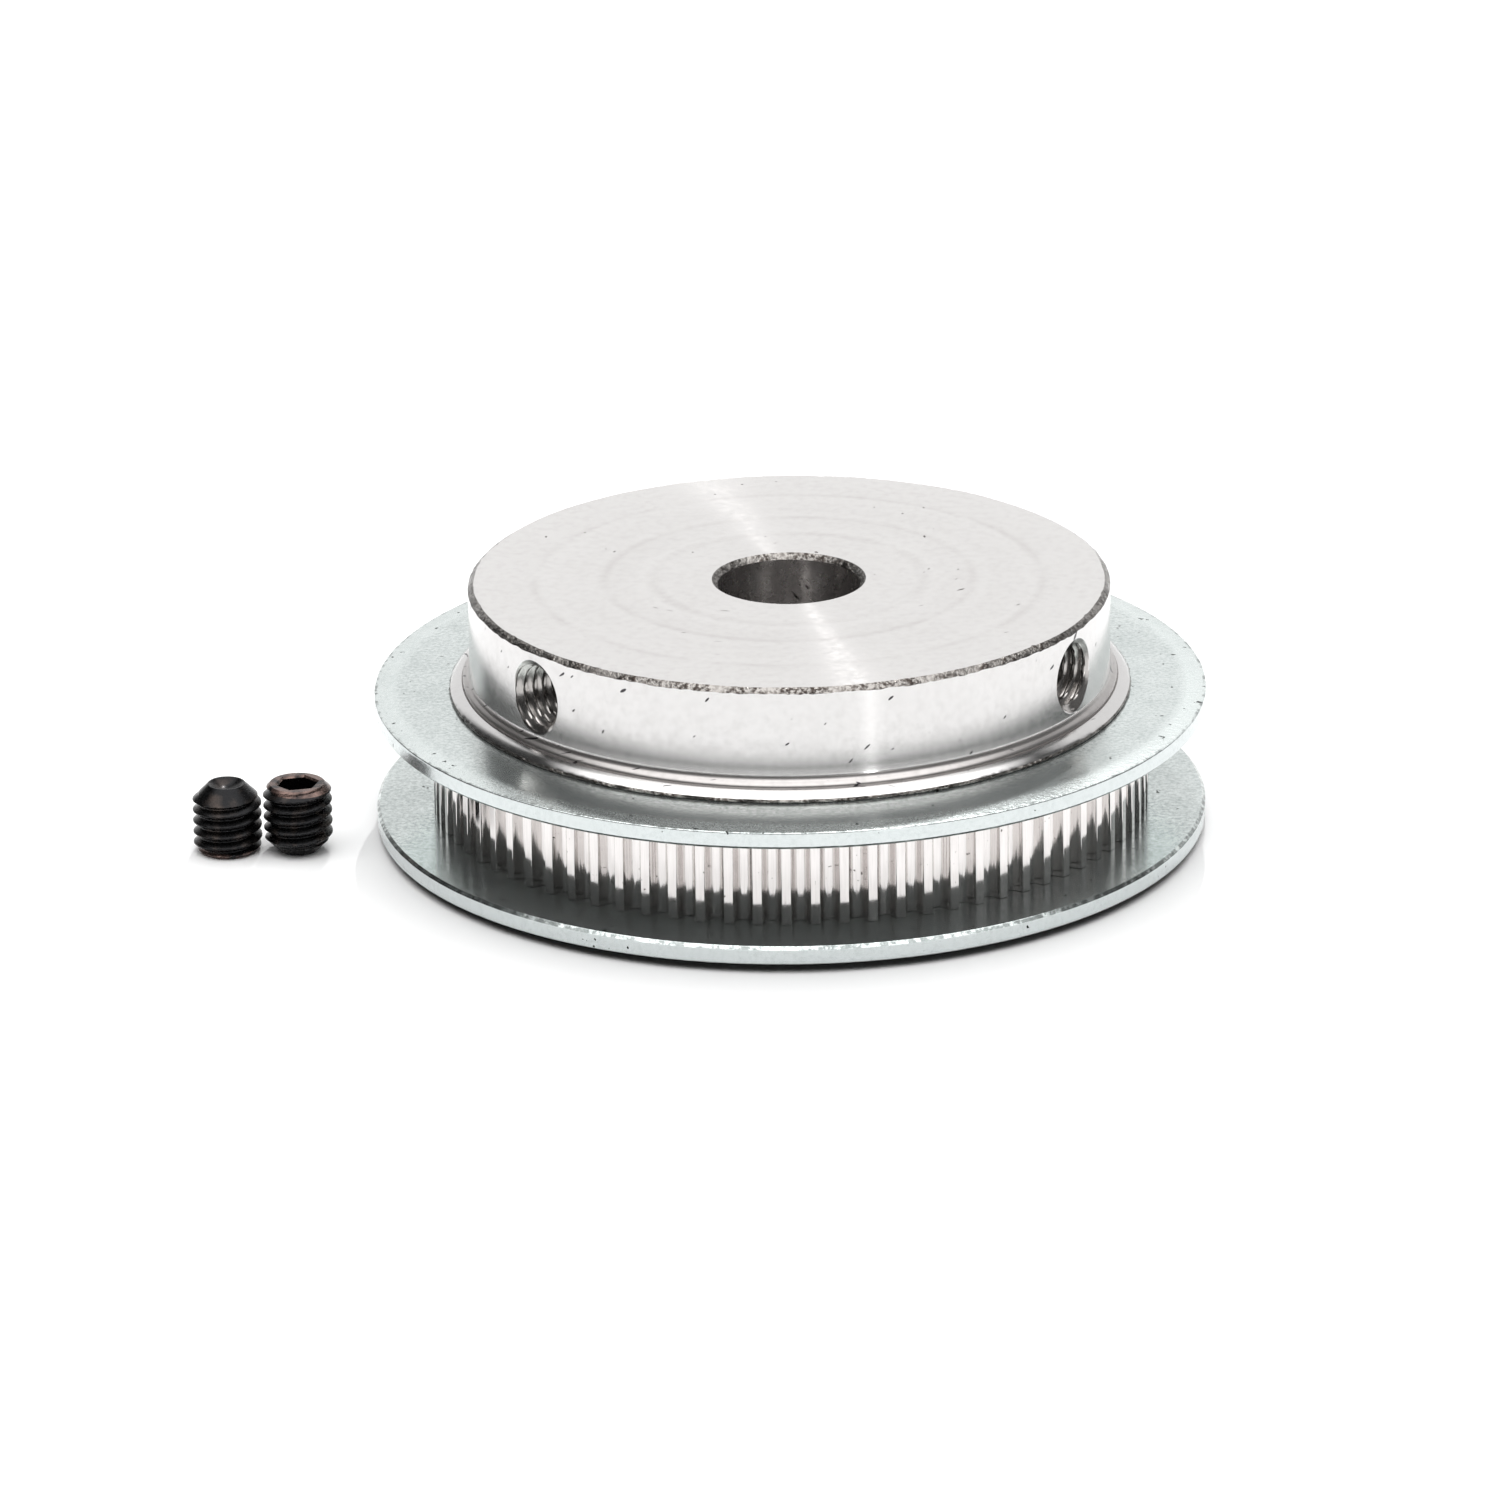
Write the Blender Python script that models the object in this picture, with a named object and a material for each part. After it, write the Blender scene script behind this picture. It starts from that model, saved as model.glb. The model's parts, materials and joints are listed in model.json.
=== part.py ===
"""Timing belt pulley: 80 teeth of 2 mm pitch, two flanges, a hub with a plain bore and two tapped
holes, and the two set screws of the hub standing loose beside it.

Metres, +Z up. The pulley stands on z = 0 with its axis vertical, and the origin is the middle of the
floor rectangle that the pulley and the two screws fill together.
"""
import math

import bmesh
import bpy
from mathutils import Matrix, Vector

MM = 0.001

# Driving dimensions, in millimetres
TOOTH_COUNT = 80
TOOTH_PITCH = 2.0               # along the belt's pitch line
PITCH_LINE_OFFSET = 0.254       # pitch line above the land
GROOVE_SECTION = ((0.66, 0.0), (0.57, 0.52), (0.46, 0.78), (0.25, 0.92))    # half width, depth
FIRST_LAND_ANGLE = -1.2         # degrees from the front, -Y, towards +X

OVERALL_HEIGHT = 18.0
TOOTH_BOTTOM_Z = 1.95
TOOTH_WIDTH = 7.0
HUB_RADIUS = 22.5
HUB_FOOT_Z = 11.84
HUB_CHAMFER = 0.35
BORE_RADIUS = 5.0
BORE_CHAMFER = 0.4

FLANGE_RADIUS = 29.25
FLANGE_THICKNESS = 1.3
FLANGE_BEVEL = 0.25             # on the belt side
FLANGE_EDGE_BREAK = 0.12        # on the other side
FLANGE_HOLE_RADIUS = 23.75
SEAT_GAP = 0.03                 # between a flange and the faces that hold it
SPIGOT_RADIUS = 23.65           # turned seat that a flange sits on
LIP_RADIUS = 23.95              # rim rolled over a flange to hold it
LIP_CROWN = (23.5, 10.83)       # radius and z where the rim's top turns down
LIP_ROUNDING = 0.35             # how far the lower rim's rounded edge goes in
LIP_WALL = 0.2                  # upright part of the rim
FOOT_RING = ((22.7, 11.4), (23.0, 11.15), (23.0, 10.95))    # radius, z down the hub's small foot

TAPPED_HOLE_RADIUS = 2.1        # minor radius of an M5 thread
TAPPED_MOUTH_RADIUS = 2.75
TAPPED_HOLE_Z = 14.5
TAPPED_HOLE_START = 3.0              # radius inside the bore where the drill begins
TAPPED_HOLE_ANGLES = (-51.5, 60.5)   # degrees from the front, -Y, towards +X

SCREW_LENGTH = 5.0
SCREW_RADIUS = 2.415            # crest of an M5 thread
SCREW_CHAMFER = 0.5
CUP_RIM_RADIUS = 1.3
CUP_DEPTH = 0.45
POINT_HEIGHT = 1.12
SOCKET_ACROSS_FLATS = 2.5
SOCKET_DEPTH = 2.2
POINT_UP_SCREW_PLACE = (-39.58, -4.8)    # from the pulley's axis
SOCKET_UP_SCREW_PLACE = (-34.62, -4.9)

TURNED_SEGMENTS = TOOTH_COUNT   # one facet to a tooth
SCREW_SEGMENTS = 32
HOLE_SEGMENTS = 24
OVERRUN = 0.5                   # how far a cutter goes past the face it opens

# Derived places
TOOTH_TOP_Z = TOOTH_BOTTOM_Z + TOOTH_WIDTH
LAND_RADIUS = TOOTH_COUNT * TOOTH_PITCH / (2 * math.pi) - PITCH_LINE_OFFSET
LOWER_FLANGE_Z = TOOTH_BOTTOM_Z - SEAT_GAP - FLANGE_THICKNESS
UPPER_FLANGE_Z = TOOTH_TOP_Z + SEAT_GAP
UPPER_LIP_Z = UPPER_FLANGE_Z + FLANGE_THICKNESS + SEAT_GAP
LOWER_LIP_Z = LOWER_FLANGE_Z - SEAT_GAP
AXIS_X = -(FLANGE_RADIUS + POINT_UP_SCREW_PLACE[0] - SCREW_RADIUS) / 2


def remove_all_objects():
    for item in list(bpy.data.objects):
        bpy.data.objects.remove(item, do_unlink=True)


def make_material(name, color, roughness, metallic):
    material = bpy.data.materials.new(name)
    material.use_nodes = True
    shader = material.node_tree.nodes["Principled BSDF"]
    shader.inputs["Base Color"].default_value = (*color, 1.0)
    shader.inputs["Roughness"].default_value = roughness
    shader.inputs["Metallic"].default_value = metallic
    return material


def add_object(name, mesh, place=(0, 0, 0), turn=None):
    """Links a mesh as an object, with its place in millimetres."""
    item = bpy.data.objects.new(name, mesh)
    bpy.context.scene.collection.objects.link(item)
    item.location = [value * MM for value in place]
    if turn:
        item.rotation_euler = turn
    return item


def finish_mesh(bm, name, material=None):
    bmesh.ops.recalc_face_normals(bm, faces=bm.faces)
    mesh = bpy.data.meshes.new(name)
    bm.to_mesh(mesh)
    bm.free()
    if material:
        mesh.materials.append(material)
    mesh.shade_smooth()
    mesh.set_sharp_from_angle(angle=math.radians(25))
    return mesh


def point_round(radius, angle, z):
    """A point at an angle in degrees from the front, in metres."""
    turn = math.radians(angle)
    return (radius * math.sin(turn) * MM, -radius * math.cos(turn) * MM, z * MM)


def turned_mesh(name, profile, segments, first_angle=0.0, material=None):
    """Turns a closed (radius, z) outline round Z; a point of radius 0 becomes a pole."""
    bm = bmesh.new()
    rings = []
    for radius, z in profile:
        if radius == 0:
            rings.append([bm.verts.new((0, 0, z * MM))])
            continue
        angles = [first_angle + 360 * step / segments for step in range(segments)]
        rings.append([bm.verts.new(point_round(radius, angle, z)) for angle in angles])
    for ring, following in zip(rings, rings[1:] + rings[:1]):
        if len(ring) == 1 and len(following) == 1:
            continue
        for step in range(segments):
            after = (step + 1) % segments
            corners = [ring[step % len(ring)], ring[after % len(ring)],
                       following[after % len(following)], following[step % len(following)]]
            bm.faces.new(list(dict.fromkeys(corners)))
    return finish_mesh(bm, name, material)


def add_prism(bm, outline, low, high, matrix=Matrix()):
    """Adds a prism of an (x, y) outline between two heights, all in millimetres."""
    bottom = [bm.verts.new(matrix @ Vector((x, y, low)) * MM) for x, y in outline]
    top = [bm.verts.new(matrix @ Vector((x, y, high)) * MM) for x, y in outline]
    bm.faces.new(reversed(bottom))
    bm.faces.new(top)
    for step in range(len(outline)):
        after = (step + 1) % len(outline)
        bm.faces.new((bottom[step], bottom[after], top[after], top[step]))


def add_cutter(name, mesh, place=(0, 0, 0), turn=None):
    cutter = add_object(name, mesh, place, turn)
    cutter.hide_render = True
    cutter.display_type = "WIRE"
    return cutter


def cut(item, cutter):
    modifier = item.modifiers.new("cut by " + cutter.name, "BOOLEAN")
    modifier.operation = "DIFFERENCE"
    modifier.solver = "EXACT"
    modifier.object = cutter


def body_profile():
    """Outline of the turned blank, from the bore over the hub and teeth to the bottom."""
    return [
        (BORE_RADIUS, BORE_CHAMFER),
        (BORE_RADIUS, OVERALL_HEIGHT - BORE_CHAMFER),
        (BORE_RADIUS + BORE_CHAMFER, OVERALL_HEIGHT),
        (HUB_RADIUS - HUB_CHAMFER, OVERALL_HEIGHT),
        (HUB_RADIUS, OVERALL_HEIGHT - HUB_CHAMFER),
        (HUB_RADIUS, HUB_FOOT_Z),
        *FOOT_RING,
        LIP_CROWN,
        (LIP_RADIUS, UPPER_LIP_Z + LIP_WALL),
        (LIP_RADIUS, UPPER_LIP_Z),
        (SPIGOT_RADIUS, UPPER_LIP_Z),
        (SPIGOT_RADIUS, TOOTH_TOP_Z),
        (LAND_RADIUS, TOOTH_TOP_Z),
        (LAND_RADIUS, TOOTH_BOTTOM_Z),
        (SPIGOT_RADIUS, TOOTH_BOTTOM_Z),
        (SPIGOT_RADIUS, LOWER_LIP_Z),
        (LIP_RADIUS, LOWER_LIP_Z),
        (LIP_RADIUS, LOWER_LIP_Z - LIP_WALL),
        (LIP_RADIUS - LIP_ROUNDING, 0.0),
        (BORE_RADIUS + BORE_CHAMFER, 0.0),
    ]


def groove_outline():
    """Section of one belt groove, narrower towards its flat floor and open past the land."""
    beyond = LAND_RADIUS + OVERRUN
    right = [(half, LAND_RADIUS - depth) for half, depth in GROOVE_SECTION]
    right.insert(0, (right[0][0], beyond))
    left = [(-half, radius) for half, radius in reversed(right)]
    return [(x, -radius) for x, radius in right + left]


def belt_groove_cutter():
    """The hob's path: one prism for each groove, between the lands."""
    bm = bmesh.new()
    outline = groove_outline()
    for tooth in range(TOOTH_COUNT):
        angle = FIRST_LAND_ANGLE + 360 * (tooth + 0.5) / TOOTH_COUNT
        turn = Matrix.Rotation(math.radians(angle), 4, "Z")
        add_prism(bm, outline, TOOTH_BOTTOM_Z - OVERRUN, TOOTH_TOP_Z + OVERRUN, turn)
    return add_cutter("belt_groove_cutter", finish_mesh(bm, "belt_groove_cutter"), (AXIS_X, 0, 0))


def tapped_hole_cutter(number, angle):
    """A radial drill with a countersink at the hub's wall, from the bore outwards."""
    countersink = TAPPED_MOUTH_RADIUS - TAPPED_HOLE_RADIUS
    end = HUB_RADIUS + OVERRUN
    profile = [(0, TAPPED_HOLE_START), (0, end), (TAPPED_MOUTH_RADIUS, end),
               (TAPPED_MOUTH_RADIUS, HUB_RADIUS), (TAPPED_HOLE_RADIUS, HUB_RADIUS - countersink),
               (TAPPED_HOLE_RADIUS, TAPPED_HOLE_START)]
    name = f"tapped_hole_cutter_{number}"
    mesh = turned_mesh(name, profile, HOLE_SEGMENTS, 360 / HOLE_SEGMENTS / 2)
    return add_cutter(name, mesh, (AXIS_X, 0, TAPPED_HOLE_Z), (math.radians(90), 0, math.radians(angle)))


def make_pulley_body(material):
    mesh = turned_mesh("pulley_body", body_profile(), TURNED_SEGMENTS, FIRST_LAND_ANGLE, material)
    body = add_object("pulley_body", mesh, (AXIS_X, 0, 0))
    cut(body, belt_groove_cutter())
    for number, angle in enumerate(TAPPED_HOLE_ANGLES, 1):
        cut(body, tapped_hole_cutter(number, angle))
    return body


def flange_profile():
    """Outline of a stamped flange, with its belt side, the bevelled one, on top."""
    return [
        (FLANGE_HOLE_RADIUS, FLANGE_THICKNESS),
        (FLANGE_RADIUS - FLANGE_BEVEL, FLANGE_THICKNESS),
        (FLANGE_RADIUS, FLANGE_THICKNESS - FLANGE_BEVEL),
        (FLANGE_RADIUS, FLANGE_EDGE_BREAK),
        (FLANGE_RADIUS - FLANGE_EDGE_BREAK, 0.0),
        (FLANGE_HOLE_RADIUS, 0.0),
    ]


def make_flanges(material):
    mesh = turned_mesh("flange", flange_profile(), TURNED_SEGMENTS, FIRST_LAND_ANGLE, material)
    add_object("lower_flange", mesh, (AXIS_X, 0, LOWER_FLANGE_Z))
    add_object("upper_flange", mesh, (AXIS_X, 0, UPPER_FLANGE_Z + FLANGE_THICKNESS), (math.pi, 0, 0))


def screw_profile():
    """Outline of a set screw that stands on its socket end, with the cup point up."""
    return [
        (0, SCREW_LENGTH - CUP_DEPTH),
        (CUP_RIM_RADIUS, SCREW_LENGTH),
        (SCREW_RADIUS, SCREW_LENGTH - POINT_HEIGHT),
        (SCREW_RADIUS, SCREW_CHAMFER),
        (SCREW_RADIUS - SCREW_CHAMFER, 0.0),
        (0, 0.0),
    ]


def socket_cutter(name, place, low, high):
    corner = SOCKET_ACROSS_FLATS / math.sqrt(3)
    angles = [math.radians(60 * side) for side in range(6)]
    bm = bmesh.new()
    add_prism(bm, [(corner * math.cos(turn), corner * math.sin(turn)) for turn in angles], low, high)
    return add_cutter(name, finish_mesh(bm, name), (*place, 0))


def make_set_screws(material):
    mesh = turned_mesh("set_screw", screw_profile(), SCREW_SEGMENTS, 0, material)
    x, y = POINT_UP_SCREW_PLACE
    place = (AXIS_X + x, y)
    point_up = add_object("set_screw_point_up", mesh, (*place, 0))
    cut(point_up, socket_cutter("socket_cutter_below", place, -OVERRUN, SOCKET_DEPTH))

    x, y = SOCKET_UP_SCREW_PLACE
    place = (AXIS_X + x, y)
    socket_up = add_object("set_screw_socket_up", mesh, (*place, SCREW_LENGTH), (math.pi, 0, 0))
    cut(socket_up, socket_cutter("socket_cutter_above", place, SCREW_LENGTH - SOCKET_DEPTH,
                                 SCREW_LENGTH + OVERRUN))


def main():
    remove_all_objects()
    make_pulley_body(make_material("bright aluminium", (0.80, 0.79, 0.77), 0.32, 1.0))
    make_flanges(make_material("zinc plate", (0.60, 0.62, 0.62), 0.38, 1.0))
    make_set_screws(make_material("black oxide", (0.02, 0.02, 0.022), 0.35, 0.6))


main()
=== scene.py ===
import json
import math
import random

import bmesh
import bpy
from mathutils import Matrix, Vector, noise

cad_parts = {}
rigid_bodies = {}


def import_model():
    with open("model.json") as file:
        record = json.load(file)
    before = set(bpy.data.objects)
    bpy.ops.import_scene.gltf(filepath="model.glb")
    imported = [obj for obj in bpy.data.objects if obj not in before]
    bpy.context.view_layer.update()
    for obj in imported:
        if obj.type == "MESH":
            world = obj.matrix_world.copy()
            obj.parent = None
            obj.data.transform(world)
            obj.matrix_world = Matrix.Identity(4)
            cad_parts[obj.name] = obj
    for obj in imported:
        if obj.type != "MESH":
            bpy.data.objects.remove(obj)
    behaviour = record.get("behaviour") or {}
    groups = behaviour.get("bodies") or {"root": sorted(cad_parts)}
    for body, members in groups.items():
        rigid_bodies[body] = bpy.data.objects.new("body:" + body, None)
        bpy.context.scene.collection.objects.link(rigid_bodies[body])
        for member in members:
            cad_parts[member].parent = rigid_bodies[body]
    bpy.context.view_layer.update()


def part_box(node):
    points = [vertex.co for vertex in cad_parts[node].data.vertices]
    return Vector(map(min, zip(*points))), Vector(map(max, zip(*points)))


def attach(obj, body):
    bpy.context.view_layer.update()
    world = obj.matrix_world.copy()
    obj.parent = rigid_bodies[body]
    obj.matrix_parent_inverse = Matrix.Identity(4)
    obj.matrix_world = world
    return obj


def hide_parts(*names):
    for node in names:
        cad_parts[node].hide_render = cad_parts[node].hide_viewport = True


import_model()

mm = 0.001


def cornersOf(node):
    low, high = (Vector(corner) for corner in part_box(node))
    return low, high


bodyLow, bodyHigh = cornersOf("pulley_body")
axis = Vector(((bodyLow.x + bodyHigh.x) / 2, (bodyLow.y + bodyHigh.y) / 2, bodyLow.z))

# Camera, light and floor
view = {
    "distance": 0.600,
    "elevation": 20.73,          # degrees above the floor
    "roll": -0.72,
    "lens": 204.1,
    "aimBesideAxis": -0.00287,
    "aimHeight": 0.00515,
}
studio = {
    "sweepGlow": 0.95,           # the pale backdrop, behind the object and all the way down
    "sweepTop": 38.0,            # degrees above the horizon
    "sweepSide": 40.0,           # degrees to each side of its middle
    "sweepTurn": 9.0,            # degrees that its middle is turned to the right of straight behind
    "sweepBlur": 9.0,
    "roomGlow": 0.045,           # the dim room everywhere else
    "ceilingGlow": 2.55,         # the soft light overhead
    "ceilingTilt": 6.0,          # degrees that its middle leans towards the front
    "ceilingReach": 34.0,        # its half angle, and the width over which it fades
    "ceilingBlur": 14.0,
    "windowGlow": 0.12,          # a paler part of the room, to the right
    "windowPlace": (0.93, -0.08, 0.36),
    "windowReach": 20.0,
    "windowBlur": 18.0,
    "floorColor": (0.95, 0.95, 0.95),
}
lamps = {
    "sideKey": {"azimuth": 27.0, "elevation": 4.0, "distance": 1.0,
                "size": (0.04, 0.07), "power": 0.5},
    "backStrip": {"azimuth": 174.3, "elevation": 48.3, "distance": 1.0,
                  "size": (0.006, 0.06), "power": 2.5},     # the bright line across the hub
}


def makeCamera():
    data = bpy.data.cameras.new("frontView")
    data.lens = view["lens"]
    data.sensor_width = 36.0
    data.clip_start = 0.01
    camera = bpy.data.objects.new("frontView", data)
    bpy.context.scene.collection.objects.link(camera)
    target = axis + Vector((view["aimBesideAxis"], 0, view["aimHeight"]))
    rise = math.radians(view["elevation"])
    camera.location = target + view["distance"] * Vector((0, -math.cos(rise), math.sin(rise)))
    facing = (target - camera.location).to_track_quat("-Z", "Y").to_matrix().to_4x4()
    roll = Matrix.Rotation(math.radians(view["roll"]), 4, "Z")
    camera.rotation_euler = (facing @ roll).to_euler()
    bpy.context.scene.camera = camera


def addNode(tree, kind, inputs=None, **settings):
    # an input is given a number or colour, or another node's socket to link from
    node = tree.nodes.new(kind)
    for name, value in settings.items():
        setattr(node, name, value)
    for key, value in (inputs or {}).items():
        if isinstance(value, bpy.types.NodeSocket):
            tree.links.new(value, node.inputs[key])
        else:
            node.inputs[key].default_value = value
    return node


def mathNode(tree, operation, *values, clamp=False):
    node = addNode(tree, "ShaderNodeMath", dict(enumerate(values)), operation=operation)
    node.use_clamp = clamp
    return node.outputs[0]


def remap(tree, value, low, high, toLow=0.0, toHigh=1.0):
    node = addNode(tree, "ShaderNodeMapRange", {"Value": value, "From Min": low, "From Max": high,
                                                "To Min": toLow, "To Max": toHigh})
    return node.outputs[0]


def makeWorld():
    world = bpy.data.worlds.new("softStudio")
    bpy.context.scene.world = world
    world.use_nodes = True
    tree = world.node_tree
    direction = addNode(tree, "ShaderNodeTexCoord").outputs["Generated"]
    parts = addNode(tree, "ShaderNodeSeparateXYZ", {0: direction}).outputs
    elevation = mathNode(tree, "ARCSINE", parts["Z"])
    bearing = mathNode(tree, "ARCTAN2", parts["X"], parts["Y"])
    fromMiddle = mathNode(tree, "SUBTRACT", bearing, math.radians(studio["sweepTurn"]))
    sideways = mathNode(tree, "ABSOLUTE", fromMiddle)
    blur = studio["sweepBlur"]

    def fade(value, full, gone):
        return remap(tree, value, math.radians(full), math.radians(gone), 1.0, 0.0)

    behind = mathNode(tree, "MULTIPLY", fade(elevation, studio["sweepTop"], studio["sweepTop"] + blur),
                      fade(sideways, studio["sweepSide"], studio["sweepSide"] + blur))

    def patch(name, towards):
        towards = Vector(towards).normalized()
        closeness = addNode(tree, "ShaderNodeVectorMath", {0: direction, 1: towards},
                            operation="DOT_PRODUCT").outputs["Value"]
        reach = studio[name + "Reach"]
        return fade(mathNode(tree, "ARCCOSINE", closeness), reach, reach + studio[name + "Blur"])

    lean = math.radians(studio["ceilingTilt"])
    above = patch("ceiling", (0, -math.sin(lean), math.cos(lean)))
    window = patch("window", studio["windowPlace"])
    dim = studio["roomGlow"]
    glow = mathNode(tree, "MULTIPLY_ADD", behind, studio["sweepGlow"] - dim, dim)
    glow = mathNode(tree, "MULTIPLY_ADD", above, studio["ceilingGlow"], glow)
    glow = mathNode(tree, "MULTIPLY_ADD", window, studio["windowGlow"], glow)
    tree.links.new(glow, tree.nodes["Background"].inputs["Color"])
    bpy.context.scene.view_settings.view_transform = "Standard"


def makeLamp(name, azimuth, elevation, distance, size, power):
    # azimuth in degrees from the front, -Y, towards +X
    data = bpy.data.lights.new(name, "AREA")
    data.shape = "RECTANGLE"
    data.size, data.size_y = size
    data.energy = power
    lamp = bpy.data.objects.new(name, data)
    bpy.context.scene.collection.objects.link(lamp)
    turn, rise = math.radians(azimuth), math.radians(elevation)
    outwards = Vector((math.cos(rise) * math.sin(turn), -math.cos(rise) * math.cos(turn), math.sin(rise)))
    lamp.location = axis + distance * outwards
    lamp.rotation_euler = outwards.to_track_quat("Z", "Y").to_euler()


def makeFloor():
    bm = bmesh.new()
    bmesh.ops.create_grid(bm, x_segments=8, y_segments=8, size=3.0)
    mesh = bpy.data.meshes.new("floor")
    bm.to_mesh(mesh)
    bm.free()
    floor = bpy.data.objects.new("floor", mesh)
    bpy.context.scene.collection.objects.link(floor)
    material = bpy.data.materials.new("paleFloor")
    material.use_nodes = True
    shader = material.node_tree.nodes["Principled BSDF"]
    shader.inputs["Base Color"].default_value = (*studio["floorColor"], 1)
    shader.inputs["Roughness"].default_value = 1.0
    shader.inputs["Specular IOR Level"].default_value = 0.0
    mesh.materials.append(material)


makeCamera()
makeWorld()
for lampName, place in lamps.items():
    makeLamp(lampName, **place)
makeFloor()
print("camera, light and floor are ready")


# Metals
nicks = {
    "turn": -40.0,                   # degrees, the slant of the small nicks in the lathe's surfaces
    "stretch": (1.5, 0.6, 0.8),
    "perMm": 1.25,
    "softness": 0.02,
}
facedMetal = {
    "color": (0.745, 0.73, 0.72),
    "shade": (0.53, 0.50, 0.49),     # in the faint rings, smears and mottling
    "metallic": 0.76,                # the rest scatters as on a dull white skin
    "roughness": 0.08,
    "anisotropy": 1.0,
    "ringsPerMm": 5.0,
    "ringHeight": 0.012,             # mm
    "rings": ((9.5, 0.7), (12.9, 0.5), (17.8, 0.5)),    # radius and half width of the darker passes
    "specks": 0.80,                  # the higher, the fewer
    "speckColor": (0.10, 0.085, 0.08),
}
turnedMetal = {
    "color": (0.70, 0.69, 0.685),
    "shade": (0.56, 0.545, 0.535),
    "metallic": 1.0,
    "roughness": 0.16,
    "anisotropy": 0.95,
    "ringsPerMm": 5.0,
    "ringHeight": 0.0012,
    "rings": (),
    "specks": 0.745,
    "speckColor": (0.07, 0.065, 0.07),
}
# a darker copy of the turned metal for the ring at the hub's foot: painted shade; it is also rougher and
# less anisotropic
shadedTurnedMetal = {
    "color": (0.48, 0.46, 0.45),
    "shade": (0.26, 0.24, 0.235),
    "metallic": 1.0,
    "roughness": 0.33,
    "anisotropy": 0.3,
    "ringsPerMm": 5.0,
    "ringHeight": 0.003,
    "rings": (),
    "specks": 0.72,
    "speckColor": (0.07, 0.065, 0.07),
}
boredMetal = {
    "color": (0.66, 0.64, 0.63),
    "shade": (0.36, 0.34, 0.33),
    "metallic": 1.0,
    "roughness": 0.26,
    "anisotropy": 0.6,
    "ringsPerMm": 3.0,
    "ringHeight": 0.008,
    "rings": (),
    "specks": 0.75,
    "speckColor": (0.06, 0.05, 0.05),
}
burredMetal = {
    "color": (0.30, 0.285, 0.27),
    "shade": (0.05, 0.04, 0.035),
    "roughness": 0.20,
    "grainsPerMm": 3.4,
    "grainHeight": 0.14,             # mm
}
cutStreaks = {
    "stretch": (9.0, 9.0, 0.5),      # long upwards, fine round the axis
    "depth": 0.003,                  # mm
    "pitColor": (0.12, 0.11, 0.10),
}
hobbedMetal = {
    "color": (0.775, 0.75, 0.74),
    "shade": (0.50, 0.475, 0.46),
    "roughness": 0.09,
}
tappedMetal = {
    "color": (0.50, 0.48, 0.465),
    "shade": (0.17, 0.155, 0.15),
    "roughness": 0.20,
}
zincPlate = {
    "color": (0.73, 0.775, 0.765),
    "shade": (0.36, 0.41, 0.40),
    "edgeColor": (0.645, 0.685, 0.685),   # the smooth rim
    "darkColor": (0.03, 0.036, 0.033),    # specks, dirt on the corner, and painted shade on the side it lies on
    "metallic": 0.92,
    "roughness": 0.20,
    "beltSideRoughness": 0.17,
    "rolledRoughness": 0.25,
    "edgeRoughness": 0.20,
    "grainsPerMm": 3.2,
    "grainHeight": 0.008,            # mm
    "pits": 0.735,                   # the higher, the fewer
    "beltSideFrom": 0.8,             # mm above the floor, up to rolledHeight
    "rolledZone": (27.3, 28.0),      # mm from the axis, rougher and paler outside it
    "rolledHeight": 9.9,             # and only above this, on the hub's side
    "rolledGrain": 0.024,
    "cornerZone": (28.98, 29.06),    # where dirt gathers on the corner, mm from the axis
    "paintedShadeTop": 0.70,                # mm above the floor; below it the lower flange is painted dark: painted shade where it meets the floor
}
blackOxide = {
    "color": (0.012, 0.012, 0.013),
    "wornColor": (0.045, 0.036, 0.032),
    "rubbedColor": (0.17, 0.115, 0.10),    # round the end with the socket
    "metallic": 0.85,
    "roughness": 0.27,
    "grainHeight": 0.01,                   # mm
}


def newMaterial(name):
    material = bpy.data.materials.new(name)
    material.use_nodes = True
    tree = material.node_tree
    return material, tree, tree.nodes["Principled BSDF"]


def centredPlace(tree, centre):
    # object coordinates in millimetres, from the piece's own axis
    place = addNode(tree, "ShaderNodeTexCoord")
    moved = addNode(tree, "ShaderNodeVectorMath", {0: place.outputs["Object"], 1: centre},
                    operation="SUBTRACT")
    scaled = addNode(tree, "ShaderNodeVectorMath", {0: moved.outputs[0], "Scale": 1 / mm},
                     operation="SCALE")
    return scaled.outputs[0]


def roundPlace(tree, place):
    # radius and height of a point, for marks that run round the axis
    parts = addNode(tree, "ShaderNodeSeparateXYZ", {0: place}).outputs
    squares = mathNode(tree, "ADD", mathNode(tree, "MULTIPLY", parts["X"], parts["X"]),
                       mathNode(tree, "MULTIPLY", parts["Y"], parts["Y"]))
    radius = mathNode(tree, "SQRT", squares)
    flat = addNode(tree, "ShaderNodeCombineXYZ", {"X": radius, "Z": parts["Z"]}).outputs[0]
    return radius, parts["Z"], flat


def noiseValue(tree, place, scale, detail=2.0, roughness=0.5):
    node = addNode(tree, "ShaderNodeTexNoise", {"Vector": place, "Scale": scale, "Detail": detail,
                                                "Roughness": roughness})
    return node.outputs["Fac"]


def mixColor(tree, amount, first, second):
    node = addNode(tree, "ShaderNodeMix", data_type="RGBA")
    for key, value in ((0, amount), (6, first), (7, second)):
        if isinstance(value, bpy.types.NodeSocket):
            tree.links.new(value, node.inputs[key])
        else:
            node.inputs[key].default_value = (*value, 1) if key else value
    return node.outputs[2]


def acrossMarks(tree, place):
    # across the lathe's marks: outwards on a flat face and upwards on a wall
    parts = addNode(tree, "ShaderNodeSeparateXYZ", {0: place}).outputs
    along = addNode(tree, "ShaderNodeCombineXYZ", {"X": mathNode(tree, "MULTIPLY", parts["Y"], -1.0),
                                                   "Y": parts["X"]}).outputs[0]
    facing = addNode(tree, "ShaderNodeNewGeometry").outputs["Normal"]
    across = addNode(tree, "ShaderNodeVectorMath", {0: along, 1: facing}, operation="CROSS_PRODUCT")
    return across.outputs[0]


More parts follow.
